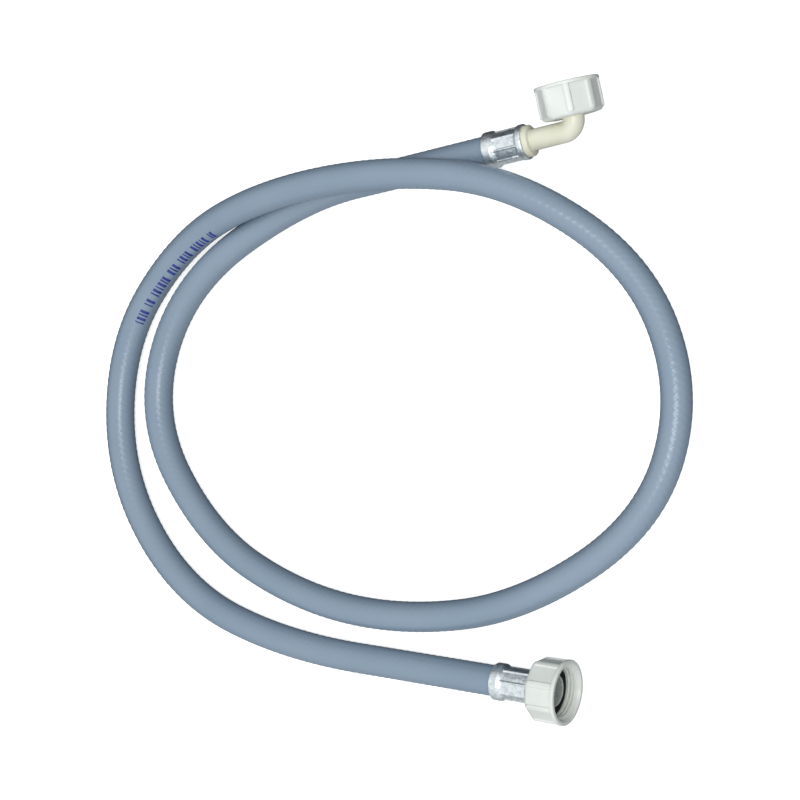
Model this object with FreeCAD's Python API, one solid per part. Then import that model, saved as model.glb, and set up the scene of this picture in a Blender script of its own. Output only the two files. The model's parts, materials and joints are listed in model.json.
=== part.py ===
import FreeCAD, Part
import math
import os

from FreeCAD import Matrix, Placement, Vector

# Flexible water supply line: a reinforced plastic hose with a crimped ferrule at each end,
# a straight tail with a 3/4 inch union nut at one end and a 90 degree elbow tail with the
# same nut at the other.  It lies on a floor at z = 0.  Millimetres, +Z up.

# Hose, from the inside out: liner, textile braid, jacket.
HOSE_BORE_RADIUS = 5.0
BRAID_INNER_RADIUS = 6.2
BRAID_OUTER_RADIUS = 6.6
HOSE_RADIUS = 7.8
ARC_SHARE = 0.45  # the share of the shorter run that each arc takes up

# The hose's centre line runs from its end inside the elbow's ferrule, under the crossing,
# once round the loop, over itself and round the outside to its end in the straight ferrule.
HOSE_ROUTE = [
    (-13.5, 127, 12.7),
    (-74, 117.5, 8.1),
    (-137, 107, 7.8),
    (-210, 62.5, 7.8),
    (-231.5, -8, 7.8),
    (-193.5, -71.5, 7.8),
    (-138.5, -102, 7.8),
    (-79, -111.5, 7.8),
    (-14, -101.5, 7.8),
    (51.5, -58, 7.8),
    (70, 4, 7.8),
    (46.5, 66.5, 7.8),
    (-14.5, 108.5, 23),
    (-82, 116, 26),
    (-150.5, 107.5, 25),
    (-209.5, 86.5, 7.8),
    (-248.5, 33, 7.8),
    (-250, -41, 7.8),
    (-209.5, -102.5, 7.8),
    (-145, -128, 7.8),
    (-61, -135.5, 7.8),
    (-8.5, -139, 14.8),
]

# Ferrule: a crimped metal sleeve with a bell at the hose side and an end ring with a lip.
# The straight end's ring is narrow, so that the crimp panels run on nearly to the nut.
INSERTION = 18.0  # length of hose inside the ferrule
FERRULE_LENGTH = 22.5  # from the hose side's plane to the end ring's face
FERRULE_RADIUS = 8.55
BELL_RADIUS = 9.3
BELL_BORE_RADIUS = 8.7
BELL_START = 0.8
BELL_LENGTH = 5.4
BELL_ROUND = 0.8
END_RING_RADIUS = 8.9
STRAIGHT_RING_LENGTH = 0.7
ELBOW_RING_LENGTH = 2.8
END_RING_ROUND = 0.2
LIP_BORE_RADIUS = 6.6
CRIMP_COUNT = 8
CRIMP_DEPTH = 0.4
CRIMP_GAP = 0.8  # metal left between a crimp panel and the bell or end ring
STRAIGHT_FERRULE_TURN = 11  # degrees that its first crimp panel is turned from the top
ELBOW_FERRULE_TURN = 30  # degrees that its first crimp panel is turned from the riser

# Tails: a barbed stem in the hose, a neck under the ferrule's lip and a collar against it.
STEM_START = 1.5
STEM_BORE_RADIUS = 3.7
BARB_HEIGHT = 0.4
BARB_PITCH = 4.0
BARB_COUNT = 4
NECK_START = 18.0
COLLAR_RADIUS = 7.9
STRAIGHT_COLLAR_LENGTH = 0.8
ELBOW_COLLAR_LENGTH = 2.9
SPIGOT_RADIUS = 7.9
FLANGE_RADIUS = 11.9
FLANGE_THICKNESS = 3.3
STRAINER_SEAT_RADIUS = 6.7
STRAINER_SEAT_DEPTH = 3.0

# Elbow: a tube turned through 90 degrees, and rolled about the hose's end.
ELBOW_TUBE_RADIUS = 5.35
ELBOW_BEND_RADIUS = 6.2
ELBOW_CORNER = 48.8  # from the ferrule's hose side to the corner of the two axes
ELBOW_RISE = 6.4  # from the leg's axis to the nut's closed face
ELBOW_ROLL = 9.5  # degrees that the riser leans up out of level

# Union nut for a G 3/4 pipe thread, measured from its closed face.
NUT_HEIGHT = 17.0
NUT_RADIUS = 16.1
NUT_FLAT = 14.4  # axis to a flat panel
NUT_SIDES = 8
NUT_EDGE_ROUND = 2.3
RIM_HEIGHT = 1.8
RIB_RADIUS = 1.9
RIB_REACH = 15.9  # axis to the outside of a rib
STRAIGHT_NUT_TURN = 28  # degrees that its first rib is turned from the top
ELBOW_NUT_TURN = 20  # degrees that its first rib is turned from the hose's end
WEB_THICKNESS = 2.8
WEB_HOLE_RADIUS = 8.3
CHAMBER_RADIUS = 13.4
CHAMBER_END = 10.8
THREAD_MINOR_RADIUS = 12.06
THREAD_MAJOR_RADIUS = 13.22
THREAD_PITCH = 1.814
THREAD_TURNS = 2
THREAD_CREST = THREAD_PITCH / 6
THREAD_FLANK = THREAD_PITCH / 3
MOUTH_RADIUS = 14.0

# Nut position on its tail, and the parts that it clamps.
NUT_CLEARANCE = 0.3  # between the web and the tail's flange
COLLAR_TO_NUT = 0.2
WASHER_RADIUS = 12.0
WASHER_BORE_RADIUS = 7.85
WASHER_THICKNESS = 3.3
STRAINER_RADIUS = 7.75
STRAINER_RING_BORE = 7.0
STRAINER_RING_HEIGHT = 4.2
MESH_THICKNESS = 0.3
MESH_DEPTH = 2.2

Z = Vector(0, 0, 1)


def route_points():
    return [Vector(*point) for point in HOSE_ROUTE]


def local_frame(origin, z_axis, x_hint):
    """Placement with local +Z along z_axis and local +X as near x_hint as it can be."""
    z_axis = z_axis.normalize()
    y_axis = z_axis.cross(x_hint).normalize()
    x_axis = y_axis.cross(z_axis)
    columns = zip(x_axis, y_axis, z_axis, origin)
    rows = [value for row in columns for value in row]
    return Placement(Matrix(*rows, 0, 0, 0, 1))


def placed(shape, placement):
    result = shape.copy()
    result.transformShape(placement.toMatrix())
    return result


def revolved(outline):
    """Solid turned about Z from (radius, height) points."""
    points = [Vector(radius, 0, height) for radius, height in outline]
    face = Part.Face(Part.makePolygon(points + points[:1]))
    return face.revolve(Vector(), Z, 360)


def ring(outer, inner, start, end):
    return revolved([(inner, start), (outer, start), (outer, end), (inner, end)])


def turned(shape, degrees):
    result = shape.copy()
    result.rotate(Vector(), Z, degrees)
    return result


def turned_about_z(shape, count):
    return [turned(shape, index * 360 / count) for index in range(count)]


def hose_path():
    """Straight runs joined by tangent arcs, each as large as its two runs allow."""
    points = route_points()
    edges = []
    length = 0
    start = points[0]
    for before, corner, after in zip(points, points[1:], points[2:]):
        back = (before - corner).normalize()
        ahead = (after - corner).normalize()
        reach = ARC_SHARE * min(before.distanceToPoint(corner), corner.distanceToPoint(after))
        turn = math.pi - back.getAngle(ahead)
        radius = reach / math.tan(turn / 2)
        print(f"route arc: radius {radius:.0f} mm, turn {math.degrees(turn):.0f} degrees")
        arc_start = corner + back * reach
        arc_end = corner + ahead * reach
        inward = (back + ahead).normalize()
        centre_distance = radius / math.cos(turn / 2)
        middle = corner + inward * (centre_distance - radius)
        edges.append(Part.LineSegment(start, arc_start).toShape())
        edges.append(Part.Arc(arc_start, middle, arc_end).toShape())
        length += start.distanceToPoint(arc_start) + radius * turn
        start = arc_end
    edges.append(Part.LineSegment(start, points[-1]).toShape())
    length += start.distanceToPoint(points[-1])
    return Part.Wire(edges), length


def swept_round(path, radius):
    points = route_points()
    circle = Part.Circle(points[0], points[1] - points[0], radius)
    profile = Part.Wire([circle.toShape()])
    return path.makePipeShell([profile], True, False)


def hose_layer(path, length, outer, inner):
    layer = swept_round(path, outer).cut(swept_round(path, inner))
    expected = math.pi * (outer ** 2 - inner ** 2) * length
    print(f"hose layer to radius {outer}: volume {layer.Volume / expected:.4f} of section x length")
    return layer


def ferrule(ring_length):
    """Crimped sleeve, from its bell to its end ring, with its first panel towards +X."""
    ring_start = FERRULE_LENGTH - ring_length
    bell_end = BELL_LENGTH + BELL_ROUND
    sleeve = revolved([
        (BELL_BORE_RADIUS, BELL_START),
        (BELL_RADIUS - BELL_ROUND / 2, BELL_START),
        (BELL_RADIUS, BELL_START + BELL_ROUND),
        (BELL_RADIUS, BELL_LENGTH),
        (FERRULE_RADIUS, bell_end),
        (FERRULE_RADIUS, ring_start),
        (END_RING_RADIUS, ring_start + END_RING_ROUND),
        (END_RING_RADIUS, FERRULE_LENGTH - END_RING_ROUND),
        (END_RING_RADIUS - END_RING_ROUND, FERRULE_LENGTH),
        (LIP_BORE_RADIUS, FERRULE_LENGTH),
        (LIP_BORE_RADIUS, INSERTION),
        (HOSE_RADIUS, INSERTION),
        (HOSE_RADIUS, BELL_LENGTH),
    ])
    flat = FERRULE_RADIUS - CRIMP_DEPTH
    half_width = math.sqrt(FERRULE_RADIUS ** 2 - flat ** 2)
    panel_start = bell_end + CRIMP_GAP
    panel_length = ring_start - CRIMP_GAP - panel_start
    panel = Part.makeBox(1, 2 * half_width, panel_length, Vector(flat, -half_width, panel_start))
    return sleeve.cut(turned_about_z(panel, CRIMP_COUNT))


def stem_outline():
    """Outside of a tail from the stem's tip in the hose to the neck, as (radius, z) points."""
    outline = [(STEM_BORE_RADIUS, STEM_START), (HOSE_BORE_RADIUS - BARB_HEIGHT, STEM_START)]
    for index in range(BARB_COUNT):
        barb_end = STEM_START + (index + 1) * BARB_PITCH
        outline.append((HOSE_BORE_RADIUS + BARB_HEIGHT, barb_end - BARB_HEIGHT))
        outline.append((HOSE_BORE_RADIUS - BARB_HEIGHT, barb_end))
    outline.append((HOSE_BORE_RADIUS - BARB_HEIGHT, NECK_START))
    outline.append((LIP_BORE_RADIUS, NECK_START))
    outline.append((LIP_BORE_RADIUS, FERRULE_LENGTH))
    return outline


def straight_tail(nut_start):
    """Straight barbed tail with a flange inside the nut and a seat for the strainer."""
    flange_start = nut_start + WEB_THICKNESS + NUT_CLEARANCE
    flange_end = flange_start + FLANGE_THICKNESS
    collar_end = FERRULE_LENGTH + STRAIGHT_COLLAR_LENGTH
    return revolved(stem_outline() + [
        (COLLAR_RADIUS, FERRULE_LENGTH),
        (COLLAR_RADIUS, collar_end),
        (SPIGOT_RADIUS, collar_end),
        (SPIGOT_RADIUS, flange_start),
        (FLANGE_RADIUS, flange_start),
        (FLANGE_RADIUS, flange_end),
        (STRAINER_SEAT_RADIUS, flange_end),
        (STRAINER_SEAT_RADIUS, flange_end - STRAINER_SEAT_DEPTH),
        (STEM_BORE_RADIUS, flange_end - STRAINER_SEAT_DEPTH),
    ])


def elbow_bend(radius):
    """Quarter torus from the leg, along +Z, to the riser, along +X from the corner."""
    bend_start = Vector(0, 0, ELBOW_CORNER - ELBOW_BEND_RADIUS)
    section = Part.Face(Part.Wire([Part.Circle(bend_start, Z, radius).toShape()]))
    centre = bend_start + Vector(ELBOW_BEND_RADIUS, 0, 0)
    return section.revolve(centre, Vector(0, 1, 0), 90)


def elbow_tail():
    """Elbow tail: barbed stem, collar and leg along +Z, riser, spigot and flange along +X."""
    bend_start = ELBOW_CORNER - ELBOW_BEND_RADIUS
    collar_end = FERRULE_LENGTH + ELBOW_COLLAR_LENGTH
    leg = revolved(stem_outline() + [
        (COLLAR_RADIUS, FERRULE_LENGTH),
        (COLLAR_RADIUS, collar_end),
        (ELBOW_TUBE_RADIUS, collar_end),
        (ELBOW_TUBE_RADIUS, bend_start),
        (STEM_BORE_RADIUS, bend_start),
    ])
    flange_start = ELBOW_RISE + WEB_THICKNESS + NUT_CLEARANCE
    flange_end = flange_start + FLANGE_THICKNESS
    riser = revolved([
        (STEM_BORE_RADIUS, ELBOW_BEND_RADIUS),
        (ELBOW_TUBE_RADIUS, ELBOW_BEND_RADIUS),
        (ELBOW_TUBE_RADIUS, ELBOW_RISE),
        (SPIGOT_RADIUS, ELBOW_RISE),
        (SPIGOT_RADIUS, flange_start),
        (FLANGE_RADIUS, flange_start),
        (FLANGE_RADIUS, flange_end),
        (STEM_BORE_RADIUS, flange_end),
    ])
    bend = elbow_bend(ELBOW_TUBE_RADIUS).cut(elbow_bend(STEM_BORE_RADIUS))
    return leg.fuse([placed(riser, riser_frame()), bend]).removeSplitter()


def riser_frame():
    """From a frame along the riser to the elbow's frame."""
    return local_frame(Vector(0, 0, ELBOW_CORNER), Vector(1, 0, 0), Vector(0, 1, 0))


def nut_outside():
    """Eight-sided nut with a rounded closed end, a round rim and a rib on each corner."""
    corner_radius = NUT_FLAT / math.cos(math.pi / NUT_SIDES)
    corners = []
    for index in range(NUT_SIDES + 1):
        angle = 2 * math.pi * index / NUT_SIDES
        corners.append(Vector(corner_radius * math.cos(angle), corner_radius * math.sin(angle), 0))
    prism = Part.Face(Part.makePolygon(corners)).extrude(Vector(0, 0, NUT_HEIGHT))
    rib = Part.makeCylinder(RIB_RADIUS, NUT_HEIGHT, Vector(RIB_REACH - RIB_RADIUS, 0, 0))
    body = prism.fuse(turned_about_z(rib, NUT_SIDES))
    envelope = Part.makeCylinder(NUT_RADIUS, NUT_HEIGHT)
    closed_edges = [edge for edge in envelope.Edges if edge.CenterOfMass.z < 1e-6]
    body = body.common(envelope.makeFillet(NUT_EDGE_ROUND, closed_edges))
    rim = Part.makeCylinder(NUT_RADIUS, RIM_HEIGHT, Vector(0, 0, NUT_HEIGHT - RIM_HEIGHT))
    return body.fuse(rim)


def nut_hollow():
    """Web hole, washer chamber, thread as rings of the G 3/4 form, and the mouth's chamfer."""
    outline = [
        (0, 0),
        (WEB_HOLE_RADIUS, 0),
        (WEB_HOLE_RADIUS, WEB_THICKNESS),
        (CHAMBER_RADIUS, WEB_THICKNESS),
        (CHAMBER_RADIUS, CHAMBER_END),
    ]
    height = CHAMBER_END
    for _ in range(THREAD_TURNS):
        outline.append((THREAD_MINOR_RADIUS, height))
        outline.append((THREAD_MINOR_RADIUS, height + THREAD_CREST))
        outline.append((THREAD_MAJOR_RADIUS, height + THREAD_CREST + THREAD_FLANK))
        outline.append((THREAD_MAJOR_RADIUS, height + 2 * THREAD_CREST + THREAD_FLANK))
        height += THREAD_PITCH
    outline.append((THREAD_MINOR_RADIUS, height))
    outline.append((THREAD_MINOR_RADIUS, height + THREAD_CREST))
    outline.append((MOUTH_RADIUS, NUT_HEIGHT))
    outline.append((0, NUT_HEIGHT))
    return revolved(outline)


def union_nut():
    return nut_outside().cut(nut_hollow())


def washer():
    """Rubber washer against the flange, from the nut's closed face."""
    start = WEB_THICKNESS + NUT_CLEARANCE + FLANGE_THICKNESS
    return ring(WASHER_RADIUS, WASHER_BORE_RADIUS, start, start + WASHER_THICKNESS)


def strainer_ring():
    """Plastic ring that holds the mesh inside the washer."""
    start = WEB_THICKNESS + NUT_CLEARANCE + FLANGE_THICKNESS
    return ring(STRAINER_RADIUS, STRAINER_RING_BORE, start, start + STRAINER_RING_HEIGHT)


def strainer_mesh():
    """Thin dish of mesh that hangs from the ring into the tail."""
    top = WEB_THICKNESS + NUT_CLEARANCE + FLANGE_THICKNESS + STRAINER_RING_HEIGHT
    half_width = STRAINER_RING_BORE
    bowl_radius = (half_width ** 2 + MESH_DEPTH ** 2) / (2 * MESH_DEPTH)
    centre = Vector(0, 0, top - MESH_DEPTH + bowl_radius)
    bowl = Part.makeSphere(bowl_radius, centre)
    hollow = Part.makeSphere(bowl_radius - MESH_THICKNESS, centre)
    inside_ring = Part.makeCylinder(half_width, MESH_DEPTH + 1, Vector(0, 0, top - MESH_DEPTH - 1))
    return bowl.cut(hollow).common(inside_ring)


def end_frames():
    """Frames of the four places: each ferrule's hose side and each nut's closed face."""
    points = route_points()
    straight_axis = (points[-1] - points[-2]).normalize()
    straight_start = points[-1] - straight_axis * INSERTION
    straight_end = local_frame(straight_start, straight_axis, Z)
    straight_nut_start = FERRULE_LENGTH + STRAIGHT_COLLAR_LENGTH + COLLAR_TO_NUT
    straight_nut = straight_end.multiply(Placement(Z * straight_nut_start, FreeCAD.Rotation()))

    elbow_axis = (points[0] - points[1]).normalize()
    level = Z.cross(elbow_axis).normalize()
    upward = elbow_axis.cross(level)
    roll = math.radians(ELBOW_ROLL)
    riser_axis = level * math.cos(roll) + upward * math.sin(roll)
    elbow_start = points[0] - elbow_axis * INSERTION
    elbow_end = local_frame(elbow_start, elbow_axis, riser_axis)
    nut_start = elbow_start + elbow_axis * ELBOW_CORNER + riser_axis * ELBOW_RISE
    elbow_nut = local_frame(nut_start, riser_axis, elbow_axis)
    return straight_end, straight_nut, elbow_end, elbow_nut, straight_nut_start


def build():
    path, length = hose_path()
    print(f"hose length {length:.0f} mm")
    straight_end, straight_nut, elbow_end, elbow_nut, straight_nut_start = end_frames()
    for name, frame in (("straight nut", straight_nut), ("elbow nut", elbow_nut)):
        axis = frame.Rotation.multVec(Z)
        print(f"{name}: closed face at {tuple(frame.Base)}, axis {tuple(axis)}")
    straight_ferrule = ferrule(STRAIGHT_RING_LENGTH)
    elbow_ferrule = ferrule(ELBOW_RING_LENGTH)
    return {
        "hose_liner": hose_layer(path, length, BRAID_INNER_RADIUS, HOSE_BORE_RADIUS),
        "hose_braid": hose_layer(path, length, BRAID_OUTER_RADIUS, BRAID_INNER_RADIUS),
        "hose_jacket": hose_layer(path, length, HOSE_RADIUS, BRAID_OUTER_RADIUS),
        "straight_ferrule": placed(turned(straight_ferrule, STRAIGHT_FERRULE_TURN), straight_end),
        "straight_tail": placed(straight_tail(straight_nut_start), straight_end),
        "straight_nut": placed(turned(union_nut(), STRAIGHT_NUT_TURN), straight_nut),
        "straight_washer": placed(washer(), straight_nut),
        "strainer_ring": placed(strainer_ring(), straight_nut),
        "strainer_mesh": placed(strainer_mesh(), straight_nut),
        "elbow_ferrule": placed(turned(elbow_ferrule, ELBOW_FERRULE_TURN), elbow_end),
        "elbow_tail": placed(elbow_tail(), elbow_end),
        "elbow_nut": placed(turned(union_nut(), ELBOW_NUT_TURN), elbow_nut),
        "elbow_washer": placed(washer(), elbow_nut),
    }


os.makedirs("parts", exist_ok=True)
for node, shape in build().items():
    print(f"{node}: valid {shape.isValid()}, solids {len(shape.Solids)}, volume {shape.Volume:.0f} mm3")
    shape.exportStep(f"parts/{node}.step")
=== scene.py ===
"""Looks of a braid-reinforced water supply line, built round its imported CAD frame."""

import functools
import json
import math

import bmesh
import bpy
import numpy as np
from mathutils import Matrix, Vector


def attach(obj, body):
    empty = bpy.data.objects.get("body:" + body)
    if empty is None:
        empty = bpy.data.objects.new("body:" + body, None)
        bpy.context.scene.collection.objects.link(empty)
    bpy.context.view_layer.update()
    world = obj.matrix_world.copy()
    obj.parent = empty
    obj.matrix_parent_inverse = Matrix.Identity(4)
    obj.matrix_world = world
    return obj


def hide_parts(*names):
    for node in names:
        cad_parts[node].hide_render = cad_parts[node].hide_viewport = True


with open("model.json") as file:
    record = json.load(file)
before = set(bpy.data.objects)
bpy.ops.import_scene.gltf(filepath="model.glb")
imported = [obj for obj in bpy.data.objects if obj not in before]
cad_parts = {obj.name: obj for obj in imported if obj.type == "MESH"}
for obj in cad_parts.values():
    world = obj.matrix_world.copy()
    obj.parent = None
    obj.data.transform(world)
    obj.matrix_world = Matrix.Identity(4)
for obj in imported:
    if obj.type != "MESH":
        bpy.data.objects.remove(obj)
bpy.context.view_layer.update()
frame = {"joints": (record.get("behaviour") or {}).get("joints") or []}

MM = 0.001
LINE_BODY = "hose_line"

# ---------------------------------------------------------------- driving sizes, in millimetres

HOSE_RADIUS = 7.8
BRAID_RADII = (6.6, 6.2)
LINER_RADII = (6.2, 5.0)
INSERTION = 18.0  # length of hose inside each ferrule
ROUTE_RESOLUTION = 32  # points of the smooth line for each control point
CORD_STEP = 0.9
LAYER_STEP = 3.0  # between the rings of the two inner layers
LAYER_COLUMNS = 32

RELIEF_DEPTH = 0.2  # how far the braid dents the jacket
RELIEF_PITCH = 3.8  # along the hose
RELIEF_COUNT = 9  # round the hose
STEPS_PER_DENT = 4  # along the hose
COLUMNS_PER_DENT = 6  # round the hose
BORE_STEP = 9.0  # between the rings of the jacket's inside
YARN_PITCH = 1.9  # of the fine lattice of yarns on the jacket, along the hose
YARN_COUNT = 28  # round the hose
YARN_HEIGHT = 0.015
GRAIN_HEIGHT = 0.03  # of the jacket's fine roughness

INK_START = 986.0  # along the hose, from its end in the elbow's ferrule
INK_GROUPS = (2, 5, 4, 3, 6, 2, 4)  # bars in each group
INK_BAR_WIDTHS = (1.7, 1.0)
INK_GAP = 1.0
INK_GROUP_GAP = 2.4
INK_HEIGHT = 5.2  # of the bars, round the hose
INK_ANGLES = (60, 43)  # degrees from the top of the hose, at the first bar and at the last
INK_STEP = 0.4
INK_COLUMNS = 9
INK_OUT = 0.02  # the bars stand this far out of the jacket
INK_IN = 0.2  # and reach this far into it

FERRULE_LENGTH = 22.5  # from the hose side's plane to the end ring's face
FERRULE_RADIUS = 8.4
BELL_RADIUS = 9.3
BELL_BORE_RADIUS = 8.1
BELL_START = 0.8
BELL_LENGTH = 5.4
END_RING_RADIUS = 8.9
STRAIGHT_RING_LENGTH = 0.7
ELBOW_RING_LENGTH = 2.8
LIP_BORE_RADIUS = 6.6
CRIMP_BORE_RADIUS = 7.3  # the crimp squeezes the hose to this
CRIMP_RADIUS = 7.6  # axis to the middle of a crimp panel
CRIMP_COUNT = 8
CRIMP_INSET = 1.5  # from the bell to the panels
CRIMP_RING_GAP = 0.6  # from the panels to the end ring
CRIMP_SLOPE = 0.35  # length of the slopes at both ends of a panel
RIDGE_WIDTH = 0.9
RIDGE_SIDE = (0.25, 0.15)  # how far a ridge's side reaches into the panel and into the ridge
SQUEEZE_LEAD = (1.5, 0.5)  # the hose is squeezed from before the bell's end to after it
FERRULE_STEP = 0.35  # longest side of the mesh along a ferrule
FERRULE_COLUMNS = 192
STRAIGHT_FERRULE_TURN = 11  # degrees that its first crimp panel is turned from the top
ELBOW_FERRULE_TURN = 30  # degrees that its first crimp panel is turned from the riser

COLLAR_RADIUS = 7.9
ELBOW_COLLAR_LENGTH = 2.9
STEM_BORE_RADIUS = 3.7
STEM_START = 1.5
BARB_COUNT = 4
BARB_PITCH = 4.0
BARB_HEIGHT = 0.4
SPIGOT_RADIUS = 7.9
FLANGE_RADIUS = 11.9
FLANGE_THICKNESS = 3.3
STRAINER_SEAT_RADIUS = 6.7
STRAINER_SEAT_DEPTH = 3.0
ELBOW_TUBE_RADIUS = 5.35
ELBOW_BEND_RADIUS = 6.2
ELBOW_CORNER = 48.8  # from the ferrule's hose side to the corner of the two axes
ELBOW_RISE = 6.4  # from the leg's axis to the nut's closed face
ELBOW_STEP = 0.6  # longest side of the mesh along the elbow
ELBOW_COLUMNS = 96

NUT_HEIGHT = 17.0
NUT_RADIUS = 16.1
NUT_FLAT = 14.4
NUT_CORNER_RADIUS = 15.2  # where two panels meet under a rib
NUT_SIDES = 8
NUT_EDGE_ROUND = 2.3
RIM_HEIGHT = 1.8
RIM_ROUND = 0.7
RIB_REACH = 15.9
RIB_HALF_WIDTH = 1.75
RIB_START = 1.4  # from the closed face to the round end of a rib
RIB_CROWN = 0.25  # how much higher a rib's middle is than its sides
STRAIGHT_NUT_TURN = 28  # degrees that its first rib is turned from the top
ELBOW_NUT_TURN = 20  # degrees that its first rib is turned from the hose's end
WEB_THICKNESS = 2.8
WEB_HOLE_RADIUS = 8.3
WEB_HOLE_BEVEL = 0.3
WEB_FACE_RADIUS = 10.5  # flat part of the closed face
CHAMBER_RADIUS = 13.4
THREAD_MINOR = 12.06
THREAD_MAJOR = 13.22
THREAD_PITCH = 1.814
THREAD_SPAN = (9.8, 15.1)
THREAD_STEPS = 18  # rings of the mesh in one pitch
MOUTH_RADIUS = 14.0
NUT_RING_STEP = 0.2  # between the rings of the nut's outside
NUT_CLEARANCE = 0.3
# Degrees from a rib's middle to half way to the next, closer together on the rib's side.
RIB_ANGLES = (0, 2.4, 4.2, 5.2, 5.6, 6.0, 6.4, 6.8, 7.4, 9, 11.5, 14.5, 18.5, 22.5)

WASHER_RADIUS = 12.0
WASHER_BORE_RADIUS = 7.85
WASHER_THICKNESS = 3.3
STRAINER_RADIUS = 7.75
STRAINER_RING_BORE = 7.0
STRAINER_RING_HEIGHT = 4.2
MESH_DEPTH = 2.2
MESH_DROP = 0.5  # from the ring's top to the edge of the dish
MESH_OVERLAP = 0.1  # the wires reach this far into the ring
WIRE_PITCH = 0.85
WIRE_THICKNESS = 0.34
WIRE_SIDES = 6
WIRE_STEPS = 8  # along a wire in one pitch
WEAVE_SHARE = 0.45  # of its thickness, how far a wire rises and falls

# ---------------------------------------------------------------- places, in metres

# Control points of the hose's centre line, from its end in the elbow's ferrule, round the
# loop and over itself, to its end in the straight ferrule.
HOSE_ROUTE = [
    (-0.0135, 0.127, 0.0127),
    (-0.074, 0.1175, 0.0081),
    (-0.137, 0.107, 0.0078),
    (-0.21, 0.0625, 0.0078),
    (-0.2315, -0.008, 0.0078),
    (-0.1935, -0.0715, 0.0078),
    (-0.1385, -0.102, 0.0078),
    (-0.079, -0.1115, 0.0078),
    (-0.014, -0.1015, 0.0078),
    (0.0515, -0.058, 0.0078),
    (0.07, 0.004, 0.0078),
    (0.0465, 0.0665, 0.0078),
    (-0.0145, 0.1085, 0.023),
    (-0.082, 0.116, 0.026),
    (-0.1505, 0.1075, 0.025),
    (-0.2095, 0.0865, 0.0078),
    (-0.2485, 0.033, 0.0078),
    (-0.25, -0.041, 0.0078),
    (-0.2095, -0.1025, 0.0078),
    (-0.145, -0.128, 0.0078),
    (-0.061, -0.1355, 0.0078),
    (-0.0085, -0.139, 0.0148),
]

CAMERA_TARGET = Vector((-0.084, 0.001, 0.0))
CAMERA_TILT = math.radians(25)  # from straight down, towards +X
CAMERA_DISTANCE = 0.952
CAMERA_LENS = 83.43
CAMERA_SENSOR = 36
CAMERA_CLIP = (0.01, 20)

# ---------------------------------------------------------------- colours, the pairs from low to high

JACKET_COLORS = ((0.214, 0.285, 0.362), (0.238, 0.302, 0.38))
BRAID_COLORS = ((0.5, 0.5, 0.47), (0.7, 0.7, 0.66))
LINER_COLOR = (0.03, 0.03, 0.03)
WASHER_COLOR = (0.004, 0.005, 0.005)
INK_COLORS = ((0.014, 0.02, 0.17), (0.03, 0.045, 0.28))
ZINC_COLORS = ((0.66, 0.71, 0.73), (0.92, 0.95, 0.95))
IVORY_COLORS = ((0.71, 0.69, 0.55), (0.79, 0.77, 0.64))
WHITE_COLORS = ((0.69, 0.71, 0.66), (0.77, 0.785, 0.74))
STRAINER_RIM_COLORS = ((0.4, 0.44, 0.41), (0.48, 0.52, 0.5))
STRAINER_WIRE_COLORS = ((0.3, 0.34, 0.32), (0.38, 0.42, 0.4))
FLOOR_COLOR = (0.93, 0.93, 0.92)

# ---------------------------------------------------------------- light and stage, in metres

SKY_LEAN = (0.04, -0.16, 0.985)  # direction of the brightest sky
# Share and colour: 1 is the lean's own direction, and 0 is at right angles to it or beyond.
SKY_STOPS = [(0.0, (0.03, 0.035, 0.045)), (0.42, (0.8, 0.835, 0.86)), (1.0, (0.99, 1.03, 1.06))]
BOUNCE_LEAN = (0.0, -0.85, -0.5)  # where the light comes from that the floor throws back
BOUNCE_STOPS = [(0.35, (0, 0, 0)), (0.85, (0.42, 0.44, 0.46))]
SKY_STRENGTH = 0.95
STRIP_PLACE = (0.33, -0.08, 1.1)
STRIP_TARGET = (-0.09, 0.0, 0.0)
STRIP_SIZE = (0.24, 0.5)
STRIP_POWER = 4.5

STAGE_WIDTH = 8.0
FLOOR_LEVEL = -0.0004  # just under the hose
WALL_HEIGHT = 4.0
STAGE_GLOW = 0.6  # emission that keeps the floor and the walls pale


def make_camera():
    """Camera that looks down on the coil, with +Y up in the picture."""
    back = Vector((math.sin(CAMERA_TILT), 0, math.cos(CAMERA_TILT)))
    right = Vector((math.cos(CAMERA_TILT), 0, -math.sin(CAMERA_TILT)))
    up = Vector((0, 1, 0))
    data = bpy.data.cameras.new("camera")
    data.sensor_width = CAMERA_SENSOR
    data.lens = CAMERA_LENS
    data.clip_start, data.clip_end = CAMERA_CLIP
    camera = bpy.data.objects.new("camera", data)
    bpy.context.scene.collection.objects.link(camera)
    turn = Matrix((right, up, back)).transposed().to_4x4()
    place = CAMERA_TARGET + back * CAMERA_DISTANCE
    camera.matrix_world = Matrix.Translation(place) @ turn
    bpy.context.scene.camera = camera


# ---------------------------------------------------------------- mesh helpers


def grid_faces(rows, columns, wrap_rows, wrap_columns):
    """Quads of a grid of points numbered row by row."""
    row = np.arange(rows if wrap_rows else rows - 1)
    column = np.arange(columns if wrap_columns else columns - 1)
    a, b = np.meshgrid(row, column, indexing="ij")
    next_a = (a + 1) % rows
    next_b = (b + 1) % columns
    corners = (a * columns + b, a * columns + next_b, next_a * columns + next_b, next_a * columns + b)
    return np.stack(corners, axis=-1).reshape(-1, 4)


def add_object(name, points, faces, matrix=None, sharp_angle=50):
    """Mesh object from points in millimetres, with its normals turned outwards."""
    mesh = bpy.data.meshes.new(name)
    mesh.from_pydata((np.asarray(points) * MM).tolist(), [], [list(face) for face in faces])
    if matrix is not None:
        mesh.transform(matrix)
    work = bmesh.new()
    work.from_mesh(mesh)
    bmesh.ops.recalc_face_normals(work, faces=work.faces)
    work.to_mesh(mesh)
    work.free()
    mesh.shade_smooth()
    mesh.set_sharp_from_angle(angle=math.radians(sharp_angle))
    obj = bpy.data.objects.new(name, mesh)
    bpy.context.scene.collection.objects.link(obj)
    return obj


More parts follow.
